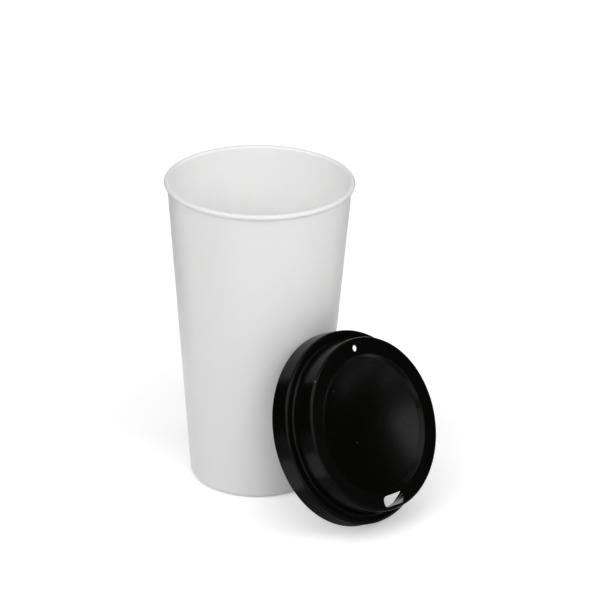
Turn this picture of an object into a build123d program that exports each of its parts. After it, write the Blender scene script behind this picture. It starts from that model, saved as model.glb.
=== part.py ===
"""Tall reusable coffee cup with its press-on lid taken off and leaning against its side.

Millimetres, +Z up. The origin is the centre of the cup's foot, on the surface that it stands on.
"""
import math
import os

from build123d import *

# Cup: over the rim, over all, and the slope of its straight side
RIM_DIAMETER = 90.0
CUP_HEIGHT = 151.5
WALL_TAPER = 4.7
CUP_WALL = 1.2
CUP_FLOOR = 1.4
RIM_BEAD = 2.5
RIM_CREASE = 1.1
BASE_ROUND = 4.0
FLOOR_ROUND = 3.0
FOOT_WIDTH = 2.2
FOOT_HEIGHT = 1.5
FOOT_ROUND = 0.4

# Lid: a shell of even wall, from the open edge of its skirt up to the rim round its dished top
LID_WALL = 0.9
LID_CLEARANCE = 0.1
LID_HEIGHT = 21.2
SKIRT_HEIGHT = 9.5
SKIRT_FLARE = 0.1
SNAP_RIB = 0.7
DRUM_DIAMETER = 83.2
DRUM_DRAFT = 2.2
FLAT_RIM = 8.05
SHOULDER_DROP = 1.7
SHOULDER_SLOPE = 47.0
BOWL_DEPTH = 4.2

# Roundings of the lid's outer corners, and the least one inside it
SKIRT_ROUND = 1.2
LEDGE_ROUND = 0.9
TOP_ROUND = 1.0
DISH_ROUND = 0.4
BOWL_ROUND = 1.0
EDGE_ROUND = 0.3
INSIDE_ROUND = 0.3

# Holes through the middle of the lid's flat rim: the drinking slot, and the vent across from it
SLOT_LENGTH = 13.8
SLOT_WIDTH = 5.3
SLOT_ROUND = 2.1
VENT_DIAMETER = 3.15

# How the lid leans: its axis above the horizontal, which way the top faces, where it stands round
# the cup, how far the vent is turned from the highest point, and the gap left to the cup's side
LID_LEAN = 24.9
LID_HEADING = -40.9
LID_BEARING = -44.7
LID_SPIN = -4.5
LEAN_GAP = 0.2
SLIDE_STEPS = 12

RIM_RADIUS = RIM_DIAMETER / 2
BEAD_RADIUS = RIM_BEAD / 2
BEAD_CENTRE = (RIM_RADIUS - BEAD_RADIUS, CUP_HEIGHT - BEAD_RADIUS)
SKIRT_RADIUS = RIM_RADIUS + LID_CLEARANCE + LID_WALL
OPEN_RADIUS = SKIRT_RADIUS + SKIRT_FLARE
DRUM_RADIUS = DRUM_DIAMETER / 2
TOP_RADIUS = DRUM_RADIUS - (LID_HEIGHT - SKIRT_HEIGHT) * math.tan(math.radians(DRUM_DRAFT))
DISH_RADIUS = TOP_RADIUS - FLAT_RIM
HOLE_RADIUS = (DISH_RADIUS + TOP_RADIUS - TOP_ROUND) / 2


def round_corners(face, corners):
    """Round each named corner of a flat profile with its own radius."""
    for point, radius in corners:
        corner = face.vertices().sort_by_distance(point)[0]
        face = fillet(corner, radius)
    return face


def mitre(before, corner, after, distance):
    """Offset the corner of a path to its right by distance, keeping both its sides parallel."""
    side_in = (Vector(*corner) - Vector(*before)).normalized()
    side_out = (Vector(*after) - Vector(*corner)).normalized()
    right = Vector(side_in.Y + side_out.Y, -side_in.X - side_out.X).normalized()
    half_turn = right.dot(Vector(side_in.Y, -side_in.X))
    moved = Vector(*corner) + right * (distance / half_turn)
    return (moved.X, moved.Y)


def cup_profile():
    """Half section of the cup: radius across, height up."""
    taper = math.radians(WALL_TAPER)
    bead_r, bead_z = BEAD_CENTRE

    def inside(z):
        return bead_r - BEAD_RADIUS / math.cos(taper) - (bead_z - z) * math.tan(taper)

    def outside(z):
        return inside(z) + CUP_WALL / math.cos(taper)

    floor_z = FOOT_HEIGHT + CUP_FLOOR
    corner_r = outside(0)
    foot_outer_r = corner_r - BASE_ROUND / math.tan((math.pi / 2 + taper) / 2)
    foot_inner_r = foot_outer_r - FOOT_WIDTH
    recess_r = foot_inner_r - FOOT_HEIGHT
    bead_tangent = (bead_r - BEAD_RADIUS * math.cos(taper), bead_z + BEAD_RADIUS * math.sin(taper))
    wall = make_face(
        Polyline(
            (0, FOOT_HEIGHT),
            (recess_r, FOOT_HEIGHT),
            (foot_inner_r, 0),
            (corner_r, 0),
            (outside(bead_z), bead_z),
            bead_tangent,
            (inside(floor_z), floor_z),
            (0, floor_z),
            close=True,
        )
    )
    profile = wall + Pos(bead_r, bead_z) * Circle(BEAD_RADIUS)
    crease_z = bead_z - BEAD_RADIUS
    return round_corners(
        profile.face(),
        [
            ((recess_r, FOOT_HEIGHT), FOOT_ROUND),
            ((foot_inner_r, 0), FOOT_ROUND),
            ((corner_r, 0), BASE_ROUND),
            ((inside(floor_z), floor_z), FLOOR_ROUND),
            ((outside(crease_z), crease_z), RIM_CREASE),
        ],
    )


def make_cup():
    return revolve(Plane.XZ * cup_profile(), Axis.Z)


def lid_profile():
    """Half section of the lid: radius across, height up from the open edge of the skirt."""
    bowl_r = DISH_RADIUS - SHOULDER_DROP / math.tan(math.radians(SHOULDER_SLOPE))
    bowl_edge_z = LID_HEIGHT - SHOULDER_DROP
    bowl_z = bowl_edge_z - BOWL_DEPTH
    bowl_slope = 2 * math.atan(BOWL_DEPTH / bowl_r)

    bowl_side = (bowl_r - math.cos(bowl_slope), bowl_edge_z - math.sin(bowl_slope))
    bowl_edge = (bowl_r, bowl_edge_z)
    dish_edge = (DISH_RADIUS, LID_HEIGHT)
    top_edge = (TOP_RADIUS, LID_HEIGHT)
    ledge_root = (DRUM_RADIUS, SKIRT_HEIGHT)
    ledge_edge = (SKIRT_RADIUS, SKIRT_HEIGHT)
    open_edge = (OPEN_RADIUS, 0)
    outer = [bowl_side, bowl_edge, dish_edge, top_edge, ledge_root, ledge_edge, open_edge]
    inner = [mitre(*outer[i - 1 : i + 2], LID_WALL) for i in range(1, len(outer) - 1)]
    inner_edge = (OPEN_RADIUS - LID_WALL, 0)

    underside_z = bowl_z - LID_WALL
    top = TangentArc((0, bowl_z), bowl_edge, tangent=(1, 0))
    shell = Polyline(*outer[1:], inner_edge, *reversed(inner))
    underside = TangentArc((0, underside_z), inner[0], tangent=(1, 0))
    axis = Line((0, underside_z), (0, bowl_z))
    rounds = [BOWL_ROUND, DISH_ROUND, TOP_ROUND, LEDGE_ROUND, SKIRT_ROUND]
    hollow = [True, False, False, True, False]
    corners = list(zip(outer[1:], rounds))
    for point, radius, is_hollow in zip(inner, rounds, hollow):
        corners.append((point, radius + LID_WALL if is_hollow else max(radius - LID_WALL, INSIDE_ROUND)))
    corners += [(open_edge, EDGE_ROUND), (inner_edge, EDGE_ROUND)]
    profile = round_corners(make_face([top, shell, underside, axis]), corners)
    return profile.face() + snap_rib(inner[-1])


def snap_rib(seat_corner):
    """Section of the bead inside the skirt that catches under the cup's rim when the lid is on."""
    rib_r, seat_z = seat_corner
    across = rib_r - BEAD_CENTRE[0]
    below = math.sqrt((BEAD_RADIUS + SNAP_RIB + LID_CLEARANCE) ** 2 - across**2)
    return Pos(rib_r, seat_z - BEAD_RADIUS - below) * Circle(SNAP_RIB)


def make_lid():
    """Lid on its own axis, with the vent towards +Y and the open edge at height 0."""
    shell = revolve(Plane.XZ * lid_profile(), Axis.Z)
    rim = Plane.XY.offset(LID_HEIGHT)
    slot = Pos(0, -HOLE_RADIUS) * RectangleRounded(SLOT_LENGTH, SLOT_WIDTH, SLOT_ROUND)
    vent = Pos(0, HOLE_RADIUS) * Circle(VENT_DIAMETER / 2)
    return shell - extrude(rim * (slot + vent), LID_WALL * 2, both=True)


def lean_lid(lid, cup):
    """Stand the lid on the edge of its skirt and slide it up to the cup until only the gap is left."""
    heading = math.radians(LID_HEADING)
    bearing = math.radians(LID_BEARING)
    lean = math.radians(LID_LEAN)
    facing = Vector(math.cos(lean) * math.cos(heading), math.cos(lean) * math.sin(heading), math.sin(lean))
    level = Vector(-math.sin(heading), math.cos(heading), 0)
    away = Vector(math.cos(bearing), math.sin(bearing), 0)
    # The lip is the middle of the skirt's rounded edge, which meets both the floor and the cup
    lip_radius = OPEN_RADIUS - EDGE_ROUND
    rise = lip_radius * math.cos(lean) + EDGE_ROUND * (1 - math.sin(lean))
    start = away * (RIM_DIAMETER + LID_HEIGHT) + Vector(0, 0, rise)
    stand = Plane(origin=start, x_dir=level, z_dir=facing).location
    lip = stand * Pos(Z=EDGE_ROUND) * Edge.make_circle(lip_radius)
    travel = 0.0
    for _ in range(SLIDE_STEPS):
        travel += (Pos(away * -travel) * lip).distance_to(cup) - EDGE_ROUND - LEAN_GAP
    return Pos(away * -travel) * stand * Rot(Z=LID_SPIN) * lid


def main():
    cup = make_cup()
    lid = lean_lid(make_lid(), cup)
    os.makedirs("parts", exist_ok=True)
    export_step(cup, "parts/cup.step")
    export_step(lid, "parts/lid.step")


main()
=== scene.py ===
"""Looks of the white coffee cup and its black lid: finishes, floor, studio light and camera. Metres."""
import math

import bpy
from mathutils import Matrix, Vector

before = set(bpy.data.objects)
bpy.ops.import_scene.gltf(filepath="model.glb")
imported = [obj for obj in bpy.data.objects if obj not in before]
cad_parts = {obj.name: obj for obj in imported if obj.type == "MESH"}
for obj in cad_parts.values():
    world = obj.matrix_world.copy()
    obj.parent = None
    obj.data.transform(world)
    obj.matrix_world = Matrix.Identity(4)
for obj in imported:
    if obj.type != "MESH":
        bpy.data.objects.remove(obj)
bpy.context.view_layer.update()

# Camera: the photograph's view, solved from its outlines, in degrees; sensor and lens in millimetres
CAMERA_PITCH = 23.545
CAMERA_ROLL = 0.855
CAMERA_DISTANCE = 2.3711
CAMERA_TARGET = Vector((0.019767, 0.0, 0.090058))
SENSOR_WIDTH = 36.0
LENS = 299.7

# Softboxes: where each stands, its width and height, and its radiance
LIGHT_AIM = Vector((0.02, -0.02, 0.07))
SOFTBOXES = {
    "top_softbox": ((0.08, -0.78, 1.25), (1.6, 1.1), 1.75),
    "left_softbox": ((-0.67, -0.40, 1.0), (0.6, 0.6), 1.6),
    "right_softbox": ((1.0, -0.32, 0.62), (0.34, 0.62), 2.7),
    "front_fill": ((0.0, -2.6, 1.35), (3.6, 0.9), 1.55),
}
WORLD_LEVEL = 0.33

# Cards that the cup's outlines and the black lid mirror: where each starts, its two sides and its grey
CARDS = {
    "left_edge_card": ((-0.133, 0.036, 0.0), (-0.027, 0.764, 0.0), (0.0, 0.0, 0.3), 0.0),
    "right_edge_card": ((0.133, 0.036, 0.0), (0.027, 0.764, 0.0), (0.0, 0.0, 0.3), 0.0),
    "left_side_card": ((-0.40, -0.35, 0.0), (0.0, 0.65, 0.0), (0.0, 0.0, 0.3), 0.0),
    "right_side_card": ((0.28, 0.0, 0.0), (0.0, 0.50, 0.0), (0.0, 0.0, 0.3), 0.0),
    "right_high_card": ((0.28, -0.08, 0.052), (0.0, 0.08, 0.0), (0.0, 0.0, 0.248), 0.0),
    "right_far_card": ((0.6, -0.075, 0.02), (0.0, 0.275, 0.0), (0.0, 0.0, 0.28), 0.0),
    "right_low_card": ((0.28, -0.30, 0.0), (0.0, 0.22, 0.0), (0.0, 0.0, 0.065), 0.4),
    "left_floor_card": ((-0.40, -0.20, 0.0005), (0.33, 0.0, 0.0), (0.0, 0.14, 0.0), 0.3),
    "right_floor_card": ((0.0, -0.20, 0.0005), (0.15, 0.0, 0.0), (0.0, 0.14, 0.0), 0.3),
    "far_floor_card": ((0.15, -0.09, 0.0005), (0.45, 0.0, 0.0), (0.0, 0.14, 0.0), 0.14),
    "overhead_card": ((-0.02, -0.15, 0.9), (0.42, 0.0, 0.0), (0.0, 0.33, 0.0), 0.95),
}

# Floor: radius and height along the section of a wide disc with a low rim far off
FLOOR_OUTLINE = [(0.0, 0.0), (18.0, 0.0), (19.5, 0.3), (20.0, 1.6)]
FLOOR_SEGMENTS = 96
FLOOR_GREY = 0.9
# Its glow, which makes up for the light that fades outwards: a radius and the strength there
GLOW_NEAR = (0.1, 0.37)
GLOW_FAR = (1.6, 1.2)

# Cup's finish: noise sizes are in features per metre, and each pair is a range
CUP_OUTSIDE = ((0.818, 0.818, 0.814), (0.826, 0.826, 0.822))
# Painted light: the inside is coloured whiter than the outside, standing in for light through the wall
# and between the inner walls
CUP_INSIDE_PAINTED_LIGHT = (0.985, 0.985, 0.975)
CUP_CLOUDS = 25.0
CUP_ROUGHNESS = (0.32, 0.40)
CUP_SMEARS = 90.0
CUP_GRAIN = 900.0
CUP_GRAIN_STRENGTH = 0.05
CUP_SPECULAR = 0.3
CUP_TRANSLUCENCE = 0.65
CUP_SCATTER = (1.0, 0.98, 0.93)
CUP_SCATTER_SCALE = 0.0025
# How far a normal points outward, from where the outside's colour ends to where the inside's painted
# light is full
PAINTED_LIGHT_FACING = (-0.5, -0.95)

# Lid's finish, in the same terms
LID_BLACK = ((0.0015, 0.0015, 0.0013), (0.0025, 0.0025, 0.0022))
LID_CLOUDS = 150.0
LID_ROUGHNESS = (0.17, 0.24)
LID_SCUFFS = 700.0
LID_SCUFF_DETAIL = 4.0
LID_GRAIN = 900.0
LID_GRAIN_STRENGTH = 0.08
LID_SPECULAR = 0.11

# Light specks on the lid and a light spot on the top edge of its drum: where each is, and its radius
SPECK_COLOUR = (0.12, 0.12, 0.113)
SPECKS = [
    ((0.0360, -0.0581, 0.06915), 0.0004),
    ((0.0474, -0.05875, 0.0434), 0.0003),
    ((0.0273, -0.06575, 0.0776), 0.0006),
]

# Middle of the lid's bowl, where the mesh's normals are uneven, and the radii where they take over again
BOWL_MIDDLE = (0.05126, -0.04947, 0.04797)
BOWL_PATCH = (0.0028, 0.0032)

# Both plastics: the part of the noise that is spread over a range, its detail and the grain's height
NOISE_MIDDLE = (0.3, 0.7)
NOISE_DETAIL = 2.0
GRAIN_HEIGHT = 0.0001


def new_material(name):
    """A material with a principled shader, its tree and that shader."""
    material = bpy.data.materials.new(name)
    material.use_nodes = True
    tree = material.node_tree
    tree.nodes.clear()
    shader = tree.nodes.new("ShaderNodeBsdfPrincipled")
    output = tree.nodes.new("ShaderNodeOutputMaterial")
    tree.links.new(shader.outputs["BSDF"], output.inputs["Surface"])
    return material, tree, shader


def own_space(tree):
    """Places and normals in the object's own space."""
    return tree.nodes.new("ShaderNodeTexCoord").outputs


def noise(tree, scale, detail=NOISE_DETAIL):
    """Noise in the object's own space, with scale in features per metre."""
    node = tree.nodes.new("ShaderNodeTexNoise")
    node.inputs["Scale"].default_value = scale
    node.inputs["Detail"].default_value = detail
    tree.links.new(own_space(tree)["Object"], node.inputs["Vector"])
    return node.outputs["Fac"]


def spread(tree, value, source, target):
    """Map one range of a value to another."""
    node = tree.nodes.new("ShaderNodeMapRange")
    node.inputs["From Min"].default_value, node.inputs["From Max"].default_value = source
    node.inputs["To Min"].default_value, node.inputs["To Max"].default_value = target
    tree.links.new(value, node.inputs["Value"])
    return node.outputs["Result"]


def blend(tree, value, low, high):
    """Between low and high by value: each is a colour, or a socket with a colour or normal."""
    node = tree.nodes.new("ShaderNodeMix")
    node.data_type = "RGBA"
    for name, colour in (("A", low), ("B", high)):
        if isinstance(colour, tuple):
            node.inputs[name].default_value = (*colour, 1)
        else:
            tree.links.new(colour, node.inputs[name])
    tree.links.new(value, node.inputs["Factor"])
    return node.outputs["Result"]


def grain(tree, scale, strength, normal=None):
    """Normals of a fine moulded grain, over the surface's own or the given ones."""
    node = tree.nodes.new("ShaderNodeBump")
    node.inputs["Distance"].default_value = GRAIN_HEIGHT
    node.inputs["Strength"].default_value = strength
    tree.links.new(noise(tree, scale), node.inputs["Height"])
    if normal:
        tree.links.new(normal, node.inputs["Normal"])
    return node.outputs["Normal"]


def math_node(tree, operation, first, second):
    """Arithmetic of two sockets."""
    node = tree.nodes.new("ShaderNodeMath")
    node.operation = operation
    tree.links.new(first, node.inputs[0])
    tree.links.new(second, node.inputs[1])
    return node.outputs["Value"]


def vector_node(tree, operation, first, second):
    """Vector arithmetic of a socket with a constant or another socket."""
    node = tree.nodes.new("ShaderNodeVectorMath")
    node.operation = operation
    tree.links.new(first, node.inputs[0])
    if isinstance(second, tuple):
        node.inputs[1].default_value = second
    else:
        tree.links.new(second, node.inputs[1])
    return node.outputs


def inside_painted_light_mask(tree):
    """1 where the surface faces the upright axis, 0 where it faces away from it: the mask of the
    inside's painted light.
    """
    own = own_space(tree)
    level = vector_node(tree, "MULTIPLY", own["Object"], (1, 1, 0))["Vector"]
    outward = vector_node(tree, "DOT_PRODUCT", level, own["Normal"])["Value"]
    radius = vector_node(tree, "DISTANCE", level, (0, 0, 0))["Value"]
    return spread(tree, math_node(tree, "DIVIDE", outward, radius), PAINTED_LIGHT_FACING, (0, 1))


def near(tree, place, inner, outer):
    """1 up to the inner radius from a place, falling to 0 at the outer one."""
    away = vector_node(tree, "DISTANCE", own_space(tree)["Object"], place)["Value"]
    return spread(tree, away, (outer, inner), (0, 1))


def cup_plastic():
    """White polypropylene with a soft gloss, some light scattered through the wall, and a whiter inside
    that is painted light.
    """
    material, tree, shader = new_material("cup_plastic")
    outside = blend(tree, noise(tree, CUP_CLOUDS), *CUP_OUTSIDE)
    # Painted light: where the surface faces the axis, the whiter inside colour takes over
    colour = blend(tree, inside_painted_light_mask(tree), outside, CUP_INSIDE_PAINTED_LIGHT)
    tree.links.new(colour, shader.inputs["Base Color"])
    gloss = spread(tree, noise(tree, CUP_SMEARS), NOISE_MIDDLE, CUP_ROUGHNESS)
    tree.links.new(gloss, shader.inputs["Roughness"])
    tree.links.new(grain(tree, CUP_GRAIN, CUP_GRAIN_STRENGTH), shader.inputs["Normal"])
    shader.inputs["Specular IOR Level"].default_value = CUP_SPECULAR
    shader.inputs["Subsurface Weight"].default_value = CUP_TRANSLUCENCE
    shader.inputs["Subsurface Radius"].default_value = CUP_SCATTER
    shader.inputs["Subsurface Scale"].default_value = CUP_SCATTER_SCALE
    return material


def lid_plastic():
    """Black polypropylene, satin, unevenly scuffed, with a few specks."""
    material, tree, shader = new_material("lid_plastic")
    colour = blend(tree, noise(tree, LID_CLOUDS), *LID_BLACK)
    for place, radius in SPECKS:
        colour = blend(tree, near(tree, place, 0, radius), colour, SPECK_COLOUR)
    tree.links.new(colour, shader.inputs["Base Color"])
    gloss = spread(tree, noise(tree, LID_SCUFFS, LID_SCUFF_DETAIL), NOISE_MIDDLE, LID_ROUGHNESS)
    tree.links.new(gloss, shader.inputs["Roughness"])
    surface = tree.nodes.new("ShaderNodeNewGeometry").outputs
    normal = blend(tree, near(tree, BOWL_MIDDLE, *BOWL_PATCH), surface["Normal"], surface["True Normal"])
    tree.links.new(grain(tree, LID_GRAIN, LID_GRAIN_STRENGTH, normal), shader.inputs["Normal"])
    shader.inputs["Specular IOR Level"].default_value = LID_SPECULAR
    return material


def matt(name, grey):
    """A dull grey material, its tree and its shader."""
    material, tree, shader = new_material(name)
    shader.inputs["Base Color"].default_value = (grey, grey, grey, 1)
    shader.inputs["Roughness"].default_value = 1.0
    shader.inputs["Specular IOR Level"].default_value = 0.0
    return material, tree, shader


def floor_material():
    """White floor whose glow, seen straight or mirrored, keeps it white far from the lamps."""
    material, tree, shader = matt("floor", FLOOR_GREY)
    away = vector_node(tree, "DISTANCE", own_space(tree)["Object"], (0, 0, 0))["Value"]
    glow = spread(tree, away, *zip(GLOW_NEAR, GLOW_FAR))
    path = tree.nodes.new("ShaderNodeLightPath").outputs
    seen = math_node(tree, "MAXIMUM", path["Is Camera Ray"], path["Is Glossy Ray"])
    seen = math_node(tree, "MAXIMUM", seen, path["Is Transmission Ray"])
    shader.inputs["Emission Color"].default_value = (1, 1, 1, 1)
    tree.links.new(math_node(tree, "MULTIPLY", seen, glow), shader.inputs["Emission Strength"])
    return material


def make_stage(name, points, faces, material):
    """A stage object from its points and faces."""
    mesh = bpy.data.meshes.new(name)
    mesh.from_pydata(points, [], faces)
    mesh.materials.append(material)
    thing = bpy.data.objects.new(name, mesh)
    bpy.context.scene.collection.objects.link(thing)
    return thing


def make_floor():
    """The outline turned about the upright axis."""
    turns = [math.tau * i / FLOOR_SEGMENTS for i in range(FLOOR_SEGMENTS)]
    points = [(r * math.cos(a), r * math.sin(a), z) for r, z in FLOOR_OUTLINE for a in turns]
    faces = []
    for ring in range(len(FLOOR_OUTLINE) - 1):
        low = ring * FLOOR_SEGMENTS
        high = low + FLOOR_SEGMENTS
        for i in range(FLOOR_SEGMENTS):
            j = (i + 1) % FLOOR_SEGMENTS
            faces.append((low + i, high + i, high + j, low + j))
    make_stage("floor", points, faces, floor_material())


def make_card(name, start, along, across, grey):
    """A flat card that only mirror reflections see."""
    corner, along, across = Vector(start), Vector(along), Vector(across)
    points = [corner, corner + along, corner + along + across, corner + across]
    material, _, _ = matt(name, grey)
    card = make_stage(name, points, [(0, 1, 2, 3)], material)
    card.visible_camera = False
    card.visible_diffuse = False
    card.visible_shadow = False


def make_world():
    """Dim grey surroundings."""
    world = bpy.data.worlds.new("studio")
    world.use_nodes = True
    background = world.node_tree.nodes["Background"]
    background.inputs["Color"].default_value = (1, 1, 1, 1)
    background.inputs["Strength"].default_value = WORLD_LEVEL
    bpy.context.scene.world = world


def make_softbox(name, place, size, radiance):
    """A rectangular lamp that faces the object."""
    data = bpy.data.lights.new(name, "AREA")
    data.shape = "RECTANGLE"
    data.size, data.size_y = size
    data.energy = radiance * math.pi * data.size * data.size_y
    light = bpy.data.objects.new(name, data)
    light.location = place
    light.rotation_euler = (LIGHT_AIM - Vector(place)).to_track_quat("-Z", "Y").to_euler()
    light.visible_camera = False
    bpy.context.scene.collection.objects.link(light)


def make_camera():
    """The photograph's camera: it looks along +Y and down, and is rolled a little."""
    pitch = math.radians(CAMERA_PITCH)
    roll = math.radians(CAMERA_ROLL)
    forward = Vector((0, math.cos(pitch), -math.sin(pitch)))
    level = Vector((1, 0, 0))
    upward = level.cross(forward)
    right = math.cos(roll) * level + math.sin(roll) * upward
    up = math.cos(roll) * upward - math.sin(roll) * level
    place = CAMERA_TARGET - CAMERA_DISTANCE * forward
    data = bpy.data.cameras.new("camera")
    data.sensor_width = SENSOR_WIDTH
    data.lens = LENS
    camera = bpy.data.objects.new("camera", data)
    axes = Matrix((right, up, -forward)).transposed()
    camera.matrix_world = Matrix.Translation(place) @ axes.to_4x4()
    bpy.context.scene.collection.objects.link(camera)
    bpy.context.scene.camera = camera


def finish_node(name, material):
    """Give a CAD node its material."""
    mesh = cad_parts[name].data
    mesh.materials.clear()
    mesh.materials.append(material)


bpy.context.scene.view_settings.view_transform = "Standard"
finish_node("cup", cup_plastic())
finish_node("lid", lid_plastic())
make_floor()
for name, card in CARDS.items():
    make_card(name, *card)
make_world()
for name, softbox in SOFTBOXES.items():
    make_softbox(name, *softbox)
make_camera()
